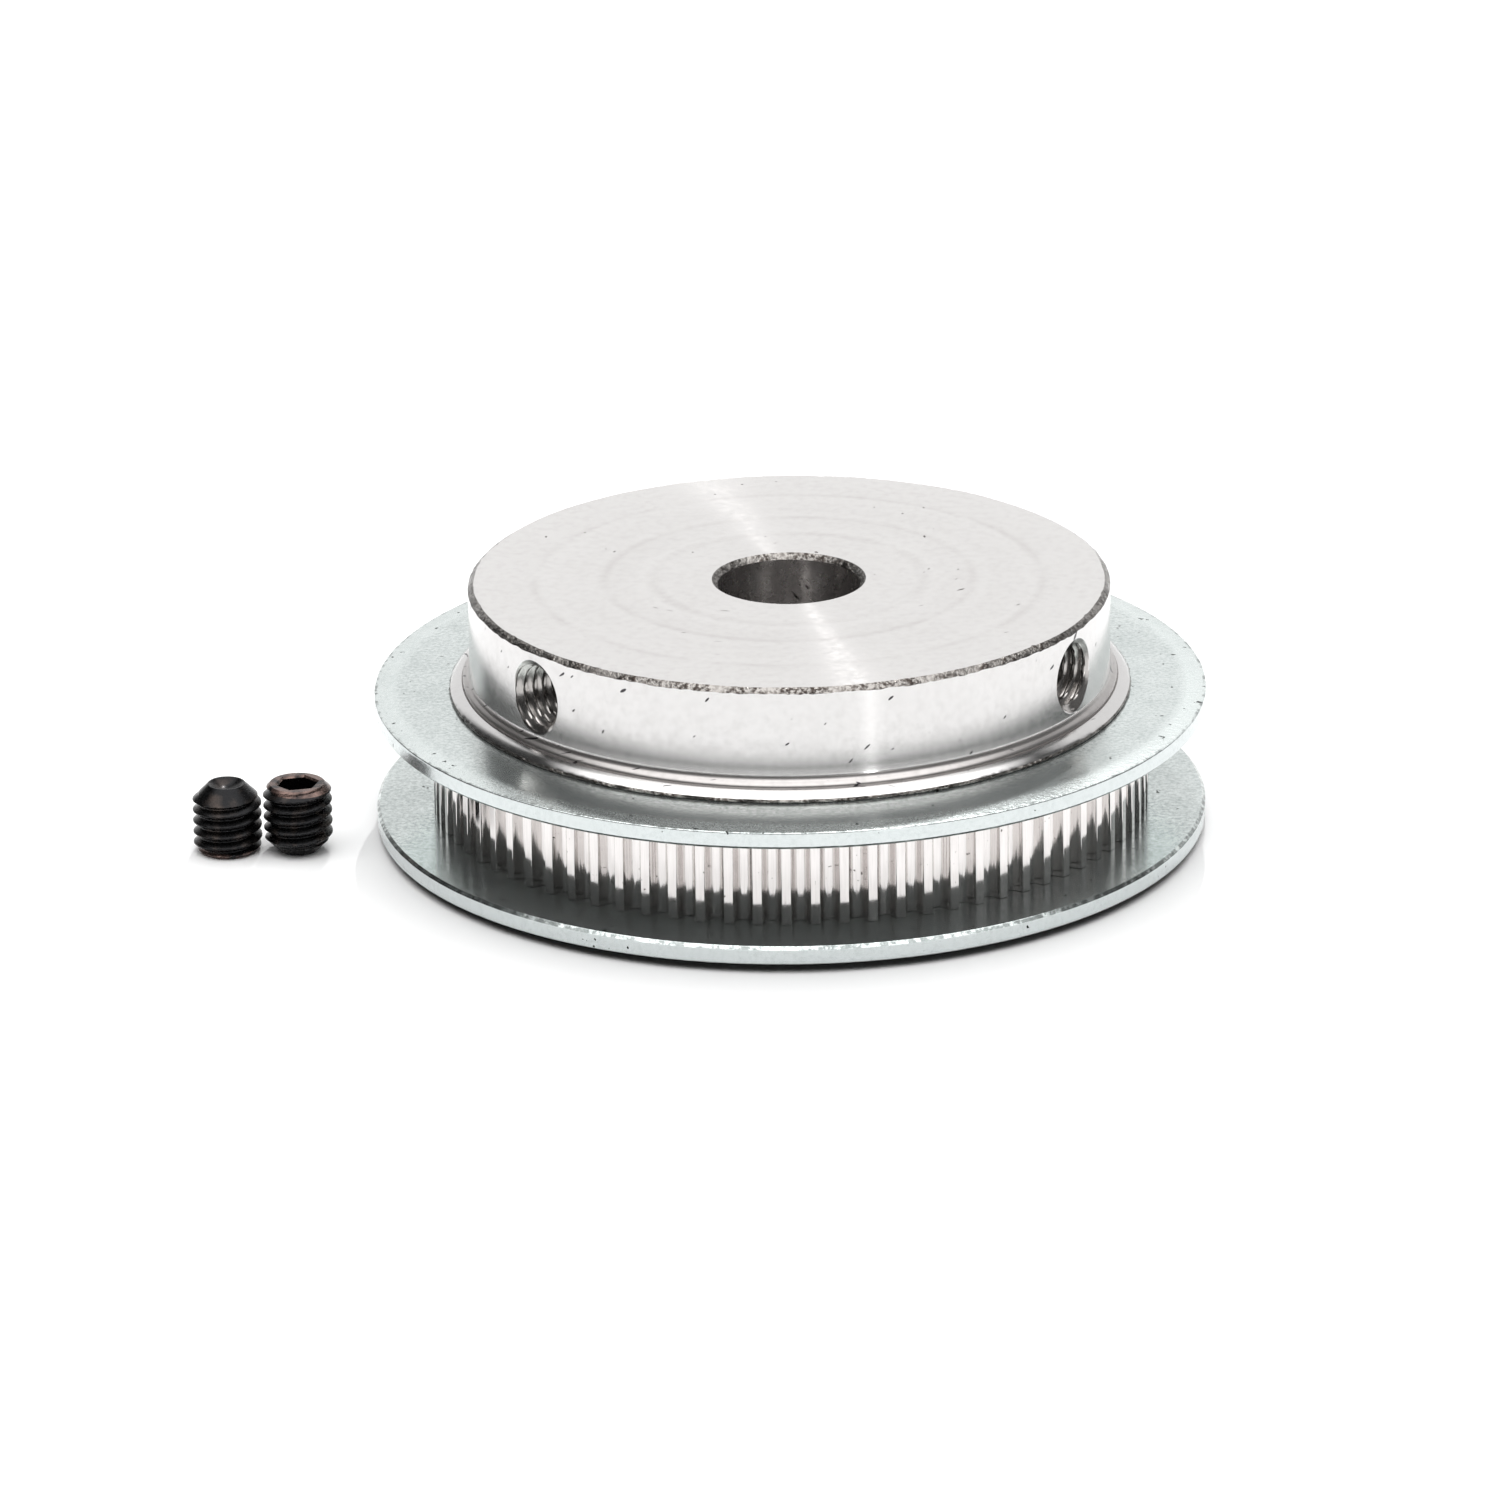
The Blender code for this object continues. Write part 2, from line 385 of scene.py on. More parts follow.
def makeLatheMetal(name, style):
    material, tree, shader = newMaterial(name)
    place = centredPlace(tree, axis)
    radius, height, flat = roundPlace(tree, place)
    rings = noiseValue(tree, flat, 0.45, 3.0)
    smears = noiseValue(tree, place, 0.22, 4.0)
    mottle = noiseValue(tree, place, 1.6, 4.0, 0.65)
    tone = mathNode(tree, "MULTIPLY", remap(tree, rings, 0.35, 0.7),
                    remap(tree, smears, 0.3, 0.75, 0.2, 0.8))
    for middle, halfWidth in style["rings"]:
        away = mathNode(tree, "ABSOLUTE", mathNode(tree, "SUBTRACT", radius, middle))
        band = mathNode(tree, "MULTIPLY", remap(tree, away, 0.0, halfWidth, 0.9, 0.0),
                        remap(tree, smears, 0.3, 0.6))
        tone = mathNode(tree, "ADD", tone, band)
    tone = mathNode(tree, "ADD", mathNode(tree, "MULTIPLY", tone, 0.3),
                    remap(tree, mottle, 0.45, 0.72, 0.0, 0.22))
    color = mixColor(tree, tone, style["color"], style["shade"])
    parts = addNode(tree, "ShaderNodeSeparateXYZ", {0: place}).outputs
    arcLength = mathNode(tree, "MULTIPLY", mathNode(tree, "ARCTAN2", parts["X"], parts["Y"]), radius)
    unrolled = addNode(tree, "ShaderNodeCombineXYZ", {"X": arcLength, "Y": height, "Z": radius})
    slanted = addNode(tree, "ShaderNodeMapping", {
        "Vector": unrolled.outputs[0], "Rotation": (0, 0, math.radians(nicks["turn"])),
        "Scale": nicks["stretch"]}, vector_type="TEXTURE").outputs[0]
    speckMask = remap(tree, noiseValue(tree, slanted, nicks["perMm"], 1.0, 0.3),
                      style["specks"], style["specks"] + nicks["softness"])
    color = mixColor(tree, speckMask, color, style["speckColor"])
    tree.links.new(color, shader.inputs["Base Color"])
    shader.inputs["Metallic"].default_value = style["metallic"]
    shader.inputs["Specular IOR Level"].default_value = 0.0
    fine = noiseValue(tree, flat, style["ringsPerMm"], 2.0, 0.6)
    tree.links.new(remap(tree, mottle, 0.3, 0.7, style["roughness"] - 0.02, style["roughness"] + 0.03),
                   shader.inputs["Roughness"])
    shader.inputs["Anisotropic"].default_value = style["anisotropy"]
    tree.links.new(acrossMarks(tree, place), shader.inputs["Tangent"])
    relief = mathNode(tree, "SUBTRACT", fine, mathNode(tree, "MULTIPLY", speckMask, 2.0))
    bump = addNode(tree, "ShaderNodeBump", {"Height": relief, "Strength": 0.8,
                                            "Distance": style["ringHeight"] * mm})
    tree.links.new(bump.outputs[0], shader.inputs["Normal"])
    return material


def makeBurredMetal():
    # broken edges: torn, glinting and dirty in the tears
    style = burredMetal
    material, tree, shader = newMaterial("burredAluminium")
    place = centredPlace(tree, axis)
    grain = noiseValue(tree, place, style["grainsPerMm"], 3.0, 0.6)
    patches = noiseValue(tree, place, 0.5, 2.0)
    dirt = mathNode(tree, "MULTIPLY", remap(tree, grain, 0.44, 0.58),
                    remap(tree, patches, 0.36, 0.52, 0.35, 1.0))
    tree.links.new(mixColor(tree, dirt, style["color"], style["shade"]), shader.inputs["Base Color"])
    shader.inputs["Metallic"].default_value = 1.0
    shader.inputs["Roughness"].default_value = style["roughness"]
    relief = mathNode(tree, "MULTIPLY", grain, remap(tree, patches, 0.35, 0.6, 0.4, 1.0))
    bump = addNode(tree, "ShaderNodeBump", {"Height": relief, "Strength": 1.0,
                                            "Distance": style["grainHeight"] * mm})
    tree.links.new(bump.outputs[0], shader.inputs["Normal"])
    return material


def makeCutMetal(name, style):
    material, tree, shader = newMaterial(name)
    place = centredPlace(tree, axis)
    stretched = addNode(tree, "ShaderNodeVectorMath", {0: place, 1: cutStreaks["stretch"]},
                        operation="MULTIPLY")
    streaks = noiseValue(tree, stretched.outputs[0], 1.0, 3.0)
    pits = noiseValue(tree, place, 3.2, 2.0)
    tone = remap(tree, streaks, 0.35, 0.75, 0.0, 0.35)
    color = mixColor(tree, tone, style["color"], style["shade"])
    color = mixColor(tree, remap(tree, pits, 0.715, 0.75), color, cutStreaks["pitColor"])
    tree.links.new(color, shader.inputs["Base Color"])
    shader.inputs["Metallic"].default_value = 1.0
    tree.links.new(remap(tree, streaks, 0.2, 0.8, style["roughness"] - 0.04, style["roughness"] + 0.06),
                   shader.inputs["Roughness"])
    bump = addNode(tree, "ShaderNodeBump", {"Height": streaks, "Strength": 0.5,
                                            "Distance": cutStreaks["depth"] * mm})
    tree.links.new(bump.outputs[0], shader.inputs["Normal"])
    return material


def makeZincPlate():
    style = zincPlate
    material, tree, shader = newMaterial("zincPlate")
    place = centredPlace(tree, axis)
    radius, height = roundPlace(tree, place)[:2]
    upright = mathNode(tree, "ABSOLUTE", addNode(tree, "ShaderNodeSeparateXYZ", {
        0: addNode(tree, "ShaderNodeNewGeometry").outputs["Normal"]}).outputs["Z"])
    onFace = remap(tree, upright, 0.3, 0.7)
    outer = mathNode(tree, "MULTIPLY", remap(tree, radius, *style["rolledZone"]), onFace)
    above = mathNode(tree, "GREATER_THAN", height, style["rolledHeight"])
    rolled = mathNode(tree, "MULTIPLY", outer, above)
    grain = noiseValue(tree, place, style["grainsPerMm"], 3.0, 0.7)
    clouds = noiseValue(tree, place, 0.35, 3.0)
    tone = mathNode(tree, "ADD", remap(tree, grain, 0.38, 0.66, 0.0, 0.65),
                    remap(tree, clouds, 0.3, 0.7, -0.1, 0.15), clamp=True)
    tone = mathNode(tree, "MULTIPLY", tone, remap(tree, rolled, 0.0, 1.0, 1.0, 0.6))
    color = mixColor(tree, tone, style["color"], style["shade"])
    rim = mixColor(tree, remap(tree, grain, 0.45, 0.7, 0.0, 0.25), style["edgeColor"], style["shade"])
    color = mixColor(tree, onFace, rim, color)
    pits = noiseValue(tree, place, 1.3, 2.0, 0.6)
    pitEdge = mathNode(tree, "MULTIPLY_ADD", rolled, -0.03, style["pits"])
    pitMask = mathNode(tree, "GREATER_THAN", pits, pitEdge)
    color = mixColor(tree, pitMask, color, style["darkColor"])
    beltSide = mathNode(tree, "MULTIPLY", mathNode(tree, "GREATER_THAN", height, style["beltSideFrom"]),
                        mathNode(tree, "LESS_THAN", height, style["rolledHeight"]))
    dirt = mathNode(tree, "MULTIPLY_ADD", beltSide, 0.09, noiseValue(tree, place, 1.6, 3.0))
    corner = mathNode(tree, "MULTIPLY", onFace, remap(tree, radius, *style["cornerZone"]))
    corner = mathNode(tree, "MULTIPLY", corner, remap(tree, dirt, 0.46, 0.66, 0.0, 0.6))
    color = mixColor(tree, corner, color, style["darkColor"])
    # painted shade: the lower flange darkens towards the floor, where shade falls under it and round its
    # bottom edge
    paintedShade = remap(tree, height, style["paintedShadeTop"] - 0.04, style["paintedShadeTop"] + 0.05, 1.0, 0.0)
    color = mixColor(tree, paintedShade, color, style["darkColor"])
    tree.links.new(color, shader.inputs["Base Color"])
    shader.inputs["Metallic"].default_value = style["metallic"]
    shader.inputs["Specular IOR Level"].default_value = 0.0
    faceRough = remap(tree, beltSide, 0.0, 1.0, style["roughness"], style["beltSideRoughness"])
    faceRough = mathNode(tree, "MULTIPLY_ADD", rolled, style["rolledRoughness"] - style["roughness"],
                         faceRough)
    rough = remap(tree, onFace, 0.0, 1.0, style["edgeRoughness"], faceRough)
    tree.links.new(mathNode(tree, "ADD", remap(tree, grain, 0.3, 0.7, -0.04, 0.06), rough),
                   shader.inputs["Roughness"])
    grainHeight, rolledGrain = style["grainHeight"] * mm, style["rolledGrain"] * mm
    plain = remap(tree, beltSide, 0.0, 1.0, grainHeight, grainHeight * 0.5)
    depth = mathNode(tree, "MULTIPLY_ADD", rolled, rolledGrain - grainHeight, plain)
    bump = addNode(tree, "ShaderNodeBump", {"Height": grain, "Strength": 1.0, "Distance": depth})
    tree.links.new(bump.outputs[0], shader.inputs["Normal"])
    return material


def makeBlackOxide(name, wornColor, wornFrom):
    style = blackOxide
    material, tree, shader = newMaterial(name)
    place = centredPlace(tree, Vector((0, 0, 0)))
    wear = noiseValue(tree, place, 0.9, 3.0)
    fine = noiseValue(tree, place, 7.0, 2.0)
    color = mixColor(tree, remap(tree, wear, wornFrom, wornFrom + 0.2), style["color"], wornColor)
    tree.links.new(color, shader.inputs["Base Color"])
    shader.inputs["Metallic"].default_value = style["metallic"]
    tree.links.new(remap(tree, fine, 0.3, 0.7, style["roughness"] - 0.07, style["roughness"] + 0.1),
                   shader.inputs["Roughness"])
    bump = addNode(tree, "ShaderNodeBump", {"Height": fine, "Strength": 0.5,
                                            "Distance": style["grainHeight"] * mm})
    tree.links.new(bump.outputs[0], shader.inputs["Normal"])
    return material


faced = makeLatheMetal("facedAluminium", facedMetal)
turned = makeLatheMetal("turnedAluminium", turnedMetal)
shadedTurned = makeLatheMetal("rubbedAluminium", shadedTurnedMetal)
bored = makeLatheMetal("boredAluminium", boredMetal)
burred = makeBurredMetal()
hobbed = makeCutMetal("hobbedAluminium", hobbedMetal)
tappedSkin = makeCutMetal("tappedAluminium", tappedMetal)
zinc = makeZincPlate()
oxide = makeBlackOxide("blackOxide", blackOxide["wornColor"], 0.5)
rubbedOxide = makeBlackOxide("rubbedOxide", blackOxide["rubbedColor"], 0.36)
print("metals are ready")


# Shared shaping helpers
def arc(centreRadius, centreHeight, size, start, end, steps):
    # points along a round in the (radius, height) outline, angles in degrees
    points = []
    for step in range(steps + 1):
        turn = math.radians(start + (end - start) * step / steps)
        points.append((centreRadius + size * math.cos(turn), centreHeight + size * math.sin(turn)))
    return points


def turnedMesh(name, outline, columns, material, wander=None):
    # turns a closed outline of (radius, height) in mm round the pulley's axis
    bm = bmesh.new()
    rings = []
    for index, (radius, height) in enumerate(outline):
        ring = []
        for column in range(columns):
            turn = 2 * math.pi * column / columns
            outwards = Vector((math.sin(turn), -math.cos(turn), 0))
            shift = wander(index, outwards) if wander else (0, 0)
            ring.append(bm.verts.new(axis + outwards * (radius + shift[0]) * mm
                                     + Vector((0, 0, (height + shift[1]) * mm))))
        rings.append(ring)
    for ring, following in zip(rings, rings[1:] + rings[:1]):
        for column in range(columns):
            after = (column + 1) % columns
            bm.faces.new((ring[column], following[column], following[after], ring[after]))
    return meshFrom(bm, name, material)


def meshFrom(bm, name, *materials):
    bmesh.ops.recalc_face_normals(bm, faces=bm.faces)
    mesh = bpy.data.meshes.new(name)
    bm.to_mesh(mesh)
    bm.free()
    for material in materials:
        mesh.materials.append(material)
    return mesh


def addPiece(name, mesh, sharpAngle=28):
    mesh.shade_smooth()
    mesh.set_sharp_from_angle(angle=math.radians(sharpAngle))
    item = bpy.data.objects.new(name, mesh)
    bpy.context.scene.collection.objects.link(item)
    return item


def bakedMesh(item, name):
    # the evaluated shape as a plain mesh; the object that carried the modifiers goes away
    graph = bpy.context.evaluated_depsgraph_get()
    mesh = bpy.data.meshes.new_from_object(item.evaluated_get(graph))
    mesh.name = name
    bpy.data.objects.remove(item, do_unlink=True)
    return mesh


# Geometry Nodes: the hob's cutters and the screw thread
def newNodeTree(name, inputs):
    tree = bpy.data.node_groups.new(name, "GeometryNodeTree")
    tree.interface.new_socket("Geometry", in_out="INPUT", socket_type="NodeSocketGeometry")
    for label, kind in inputs.items():
        tree.interface.new_socket(label, in_out="INPUT", socket_type=kind)
    tree.interface.new_socket("Geometry", in_out="OUTPUT", socket_type="NodeSocketGeometry")
    return tree, addNode(tree, "NodeGroupInput").outputs, addNode(tree, "NodeGroupOutput")


def runNodes(name, mesh, tree, values):
    # carries a node tree on an object, with its inputs set by socket identifier
    item = bpy.data.objects.new(name, mesh)
    bpy.context.scene.collection.objects.link(item)
    modifier = item.modifiers.new(name, "NODES")
    modifier.node_group = tree
    for socket in tree.interface.items_tree:
        if socket.in_out == "INPUT" and socket.name in values:
            modifier[socket.identifier] = values[socket.name]
    return bakedMesh(item, name)


def makeGrooveTree():
    tree, given, result = newNodeTree("beltGrooves", {
        "Count": "NodeSocketInt", "First Angle": "NodeSocketFloat", "Width": "NodeSocketFloat",
        "Axis": "NodeSocketVector", "Round Steps": "NodeSocketInt", "Material": "NodeSocketMaterial"})
    outline = addNode(tree, "GeometryNodeMeshToCurve", {0: given["Geometry"]})
    corner = addNode(tree, "GeometryNodeInputNamedAttribute", {"Name": "cornerRound"}, data_type="FLOAT")
    rounded = addNode(tree, "GeometryNodeFilletCurve",
                      {"Curve": outline.outputs[0], "Radius": corner.outputs[0], "Limit Radius": True})
    if "Mode" in rounded.inputs:
        rounded.inputs["Mode"].default_value = "Poly"
    else:
        rounded.mode = "POLY"
    tree.links.new(given["Round Steps"], rounded.inputs["Count"])
    face = addNode(tree, "GeometryNodeFillCurve", {0: rounded.outputs[0]})
    up = addNode(tree, "ShaderNodeCombineXYZ", {"Z": given["Width"]})
    raised = addNode(tree, "GeometryNodeExtrudeMesh", {"Mesh": face.outputs[0], "Offset": up.outputs[0],
                                                       "Offset Scale": 1.0, "Individual": False})
    base = addNode(tree, "GeometryNodeFlipFaces", {0: face.outputs[0]})
    both = addNode(tree, "GeometryNodeJoinGeometry")
    tree.links.new(raised.outputs["Mesh"], both.inputs[0])
    tree.links.new(base.outputs[0], both.inputs[0])
    closed = addNode(tree, "GeometryNodeMergeByDistance", {"Geometry": both.outputs[0], "Distance": 1e-6})
    spots = addNode(tree, "GeometryNodePoints", {"Count": given["Count"], "Position": given["Axis"]})
    index = addNode(tree, "GeometryNodeInputIndex")
    step = mathNode(tree, "DIVIDE", math.tau, given["Count"])
    turn = mathNode(tree, "ADD", mathNode(tree, "MULTIPLY", index.outputs[0], step), given["First Angle"])
    spin = addNode(tree, "ShaderNodeCombineXYZ", {"Z": turn})
    copies = addNode(tree, "GeometryNodeInstanceOnPoints", {"Points": spots.outputs[0],
                                                            "Instance": closed.outputs[0]})
    tree.links.new(spin.outputs[0], copies.inputs["Rotation"])
    real = addNode(tree, "GeometryNodeRealizeInstances", {0: copies.outputs[0]})
    painted = addNode(tree, "GeometryNodeSetMaterial", {"Geometry": real.outputs[0],
                                                        "Material": given["Material"]})
    tree.links.new(painted.outputs[0], result.inputs[0])
    return tree


def makeThreadTree():
    # a grid rolled into a tube: the radius rises and falls with the helix, and is trimmed at both ends
    tree, given, result = newNodeTree("screwThread", {
        "Crest": "NodeSocketFloat", "Root": "NodeSocketFloat", "Pitch": "NodeSocketFloat",
        "Length": "NodeSocketFloat", "Low End": "NodeSocketFloat", "Low Taper": "NodeSocketFloat",
        "High End": "NodeSocketFloat", "High Taper": "NodeSocketFloat", "Mouth": "NodeSocketFloat",
        "Mouth Start": "NodeSocketFloat", "Mouth End": "NodeSocketFloat", "Columns": "NodeSocketInt",
        "Rows": "NodeSocketInt", "Flat": "NodeSocketFloat", "Material": "NodeSocketMaterial"})
    grid = addNode(tree, "GeometryNodeMeshGrid", {"Size X": 1.0, "Size Y": 1.0,
                                                  "Vertices X": given["Columns"],
                                                  "Vertices Y": given["Rows"]})
    position = addNode(tree, "GeometryNodeInputPosition").outputs[0]
    spot = addNode(tree, "ShaderNodeSeparateXYZ", {0: position})
    around = mathNode(tree, "ADD", spot.outputs["X"], 0.5)
    along = mathNode(tree, "MULTIPLY", mathNode(tree, "ADD", spot.outputs["Y"], 0.5), given["Length"])
    turns = mathNode(tree, "DIVIDE", along, given["Pitch"])
    phase = mathNode(tree, "FRACT", mathNode(tree, "SUBTRACT", turns, around))
    ridge = mathNode(tree, "ABSOLUTE", mathNode(tree, "MULTIPLY_ADD", phase, 2.0, -1.0))
    height = addNode(tree, "ShaderNodeMapRange", {"Value": ridge, "From Min": given["Flat"],
                                                  "To Min": given["Crest"], "To Max": given["Root"]})
    tree.links.new(mathNode(tree, "SUBTRACT", 1.0, given["Flat"]), height.inputs["From Max"])
    lowTrim = addNode(tree, "ShaderNodeMapRange", {"Value": along, "From Min": 0.0,
                                                   "From Max": given["Low Taper"],
                                                   "To Min": given["Low End"], "To Max": given["Crest"]})
    fromTop = mathNode(tree, "SUBTRACT", given["Length"], along)
    highTrim = addNode(tree, "ShaderNodeMapRange", {"Value": fromTop, "From Min": 0.0,
                                                    "From Max": given["High Taper"],
                                                    "To Min": given["High End"], "To Max": given["Crest"]})
    mouth = addNode(tree, "ShaderNodeMapRange", {"Value": along, "From Min": given["Mouth Start"],
                                                 "From Max": given["Mouth End"], "To Min": 0.0,
                                                 "To Max": given["Mouth"]})
    trimmed = mathNode(tree, "MINIMUM", height.outputs[0],
                       mathNode(tree, "MINIMUM", lowTrim.outputs[0], highTrim.outputs[0]))
    radius = mathNode(tree, "MAXIMUM", trimmed, mouth.outputs[0])
    angle = mathNode(tree, "MULTIPLY", around, math.tau)
    place = addNode(tree, "ShaderNodeCombineXYZ", {
        "X": mathNode(tree, "MULTIPLY", radius, mathNode(tree, "COSINE", angle)),
        "Y": mathNode(tree, "MULTIPLY", radius, mathNode(tree, "SINE", angle)), "Z": along})
    rolled = addNode(tree, "GeometryNodeSetPosition", {"Geometry": grid.outputs[0],
                                                       "Position": place.outputs[0]})
    closed = addNode(tree, "GeometryNodeMergeByDistance", {"Geometry": rolled.outputs[0], "Distance": 1e-7})
    real = addNode(tree, "GeometryNodeRealizeInstances", {0: closed.outputs[0]})
    painted = addNode(tree, "GeometryNodeSetMaterial", {"Geometry": real.outputs[0],
                                                        "Material": given["Material"]})
    tree.links.new(painted.outputs[0], result.inputs[0])
    return tree


grooveTree = makeGrooveTree()
threadTree = makeThreadTree()

# The body: hub, tooth ring, bore and rolled rims, in mm from the axis and the floor
body = {
    "columns": 480,
    "hubRadius": 22.5,
    "hubTop": (bodyHigh.z - bodyLow.z) / mm,
    "hubFoot": 11.84,
    "hubChamfer": 0.35,
    "boreRadius": 5.0,
    "boreChamfer": 0.4,
    "footRing": 23.0,
    "spigotRadius": 23.65,
    "lipRadius": 23.95,
    "lipBase": 10.33,            # where the rim meets the upper flange
    "lowerRimTop": 0.59,         # and where the one below meets the lower flange
    "landRadius": (bodyHigh.x - bodyLow.x) / 2 / mm,
    "toothBottom": 1.95,
    "toothTop": 8.95,
    "faceRingStep": 1.2,         # between the lathe's passes on the flat faces
    "faceRingDepth": 0.003,
    "chamferWander": 0.10,       # how far the broken edge of the hub strays, in mm
    "nickFrom": 0.25,            # and the small nicks in it
    "nickDepth": 0.35,
    "lipWander": 0.10,
}
grooves = {
    "count": 80,
    "firstAngle": -1.2 + 2.25,   # degrees, first groove beside the front land
    "mouthWidth": 1.32,
    "mouthRound": 0.09,
    "mouthReach": 1.4,           # of mouthRound, how far the cutter runs beside the mouth
    "section": ((0.54, 0.48, 0.9), (0.42, 0.78, 0.3), (0.24, 0.92, 0.3)),   # half width, depth, rounding
    "roundSteps": 4,
    "overrun": 0.5,
}
tapped = {
    "angles": (-51.5, 60.5),
    "height": 14.5,
    "minorRadius": 2.12,
    "majorRadius": 2.50,
    "pitch": 0.8,
    "mouthRadius": 2.75,
    "mouthDepth": 1.6,           # the countersink starts this far inside the wall
    "innerEnd": 3.0,
    "outerEnd": 25.0,
    "columns": 72,
    "rowsPerPitch": 12,
    "flat": 0.12,
}


def flatFaceRings(fromRadius, toRadius, height, side):
    # shallow passes of the facing tool, from one radius to another
    chance = random.Random(11 + side)
    count = int(abs(toRadius - fromRadius) / body["faceRingStep"])
    points = []
    for step in range(1, count):
        radius = fromRadius + (toRadius - fromRadius) * step / count
        points.append((radius, height - side * body["faceRingDepth"] * chance.random()))
    return points


def bodyOutline():
    # from the foot of the bore up, over the hub, down the rims and teeth and back under
    b = body
    bore, bevel = b["boreRadius"], b["boreChamfer"]
    top, lip, foot = b["hubTop"], b["lipRadius"], b["hubFoot"]
    edge = b["hubRadius"] - b["hubChamfer"]
    lipBase, lowerTop = b["lipBase"], b["lowerRimTop"]
    boreSteps, wallSteps = 24, 12
    boreWall = [(bore, bevel + (top - 2 * bevel) * step / boreSteps) for step in range(boreSteps + 1)]
    outline = [(bore + bevel * 0.5, bevel * 0.42)] + boreWall + [(bore + bevel * 0.5, top - bevel * 0.42)]
    outline += [(bore + bevel, top - 0.01)]
    outline += flatFaceRings(bore + bevel + 0.1, edge, top, 1)
    marks = {"chamferTop": len(outline)}
    outline += [(edge, top), (edge + 0.16, top - 0.14)]
    marks["chamferFoot"] = len(outline)
    outline += [(b["hubRadius"], top - b["hubChamfer"])]
    wallTop = top - b["hubChamfer"]
    outline += [(b["hubRadius"], wallTop + (foot - wallTop) * step / wallSteps)
                for step in range(1, wallSteps + 1)]
    outline += [(b["hubRadius"] + 0.02, foot - 0.14), (b["hubRadius"] + 0.07, foot - 0.28),
                (b["hubRadius"] + 0.15, foot - 0.40), (b["hubRadius"] + 0.21, foot - 0.45)]
    ring = b["footRing"]
    outline += [(ring - 0.14, foot - 0.53), (ring - 0.03, foot - 0.64), (ring, foot - 0.70),
                (ring - 0.04, foot - 0.76), (ring - 0.04, foot - 0.90), (ring + 0.08, foot - 0.86)]
    outline += [(ring + 0.30, foot - 0.91), (ring + 0.52, foot - 1.01), (ring + 0.72, foot - 1.15),
                (lip - 0.07, foot - 1.28)]
    marks["lipEdge"] = len(outline)
    outline += [(lip, lipBase + 0.12), (lip - 0.03, lipBase)]
    outline += [(b["spigotRadius"], lipBase), (b["spigotRadius"], b["toothTop"])]
    outline += [(b["landRadius"], b["toothTop"]), (b["landRadius"], b["toothBottom"])]
    outline += [(b["spigotRadius"], b["toothBottom"]), (b["spigotRadius"], lowerTop),
                (lip - 0.04, lowerTop)]
    outline += [(lip, 0.55)] + arc(lip - 0.3, 0.3, 0.3, 0, -90, 6)
    outline += flatFaceRings(lip - 0.3, bore + bevel, 0.0, -1) + [(bore + bevel, 0.0)]
    return outline, marks


def ragged(outwards, fineness, seed):
    return noise.noise(Vector((outwards.x * fineness, outwards.y * fineness, seed)))


def makeBlank():
    outline, marks = bodyOutline()

    def wander(index, outwards):
        if index == marks["chamferTop"]:
            nick = max(0.0, ragged(outwards, 90, 3.1) - body["nickFrom"])
            sway = 0.5 + ragged(outwards, 6, 1.7)
            return (-body["chamferWander"] * sway - body["nickDepth"] * nick, 0.0)
        if index == marks["chamferFoot"]:
            sway = ragged(outwards, 40, 5.2) + 0.6 * ragged(outwards, 9, 2.2)
            return (0.0, -body["chamferWander"] * sway)
        if index == marks["lipEdge"]:
            return (body["lipWander"] * ragged(outwards, 70, 8.4), 0.02 * ragged(outwards, 90, 4.4))
        return (0.0, 0.0)

    return turnedMesh("bodyBlank", outline, body["columns"], turned, wander)


def makeGrooveSection():
    # the hob's outline for one groove, drawn at the front of the tooth ring
    land = body["landRadius"]
    half, beyond = grooves["mouthWidth"] / 2, grooves["overrun"]
    wide = half + grooves["mouthReach"] * grooves["mouthRound"]
    corners = [(wide, beyond, 0.0), (wide, 0.0, 0.0), (half, 0.0, grooves["mouthRound"])]
    corners += [(x, -depth, rounding) for x, depth, rounding in grooves["section"]]
    corners += [(-x, y, rounding) for x, y, rounding in reversed(corners)]
    mesh = bpy.data.meshes.new("grooveSection")
    points = [(x * mm, -(land + y) * mm, (body["toothBottom"] - grooves["overrun"]) * mm)
              for x, y, rounding in corners]
    edges = [(index, (index + 1) % len(corners)) for index in range(len(corners))]
    mesh.from_pydata(points, edges, [])
    rounds = mesh.attributes.new("cornerRound", "FLOAT", "POINT")
    for index, corner in enumerate(corners):
        rounds.data[index].value = corner[2] * mm
    return mesh


def threadValues(crest, root, pitch, length, columns, rows, flat, material, **trims):
    values = {"Crest": crest, "Root": root, "Pitch": pitch, "Length": length,
              "Low End": crest, "Low Taper": 0.1, "High End": crest, "High Taper": 0.1,
              "Mouth": 0.0, "Mouth Start": 0.0, "Mouth End": length}
    values.update(trims)
    values = {name: value * mm for name, value in values.items()}
    values.update({"Columns": columns + 1, "Rows": rows + 1, "Flat": flat, "Material": material})
    return values


def closeEnds(mesh):
    bm = bmesh.new()
    bm.from_mesh(mesh)
    bmesh.ops.holes_fill(bm, edges=[edge for edge in bm.edges if edge.is_boundary])
    bmesh.ops.recalc_face_normals(bm, faces=bm.faces)
    bm.to_mesh(mesh)
    bm.free()


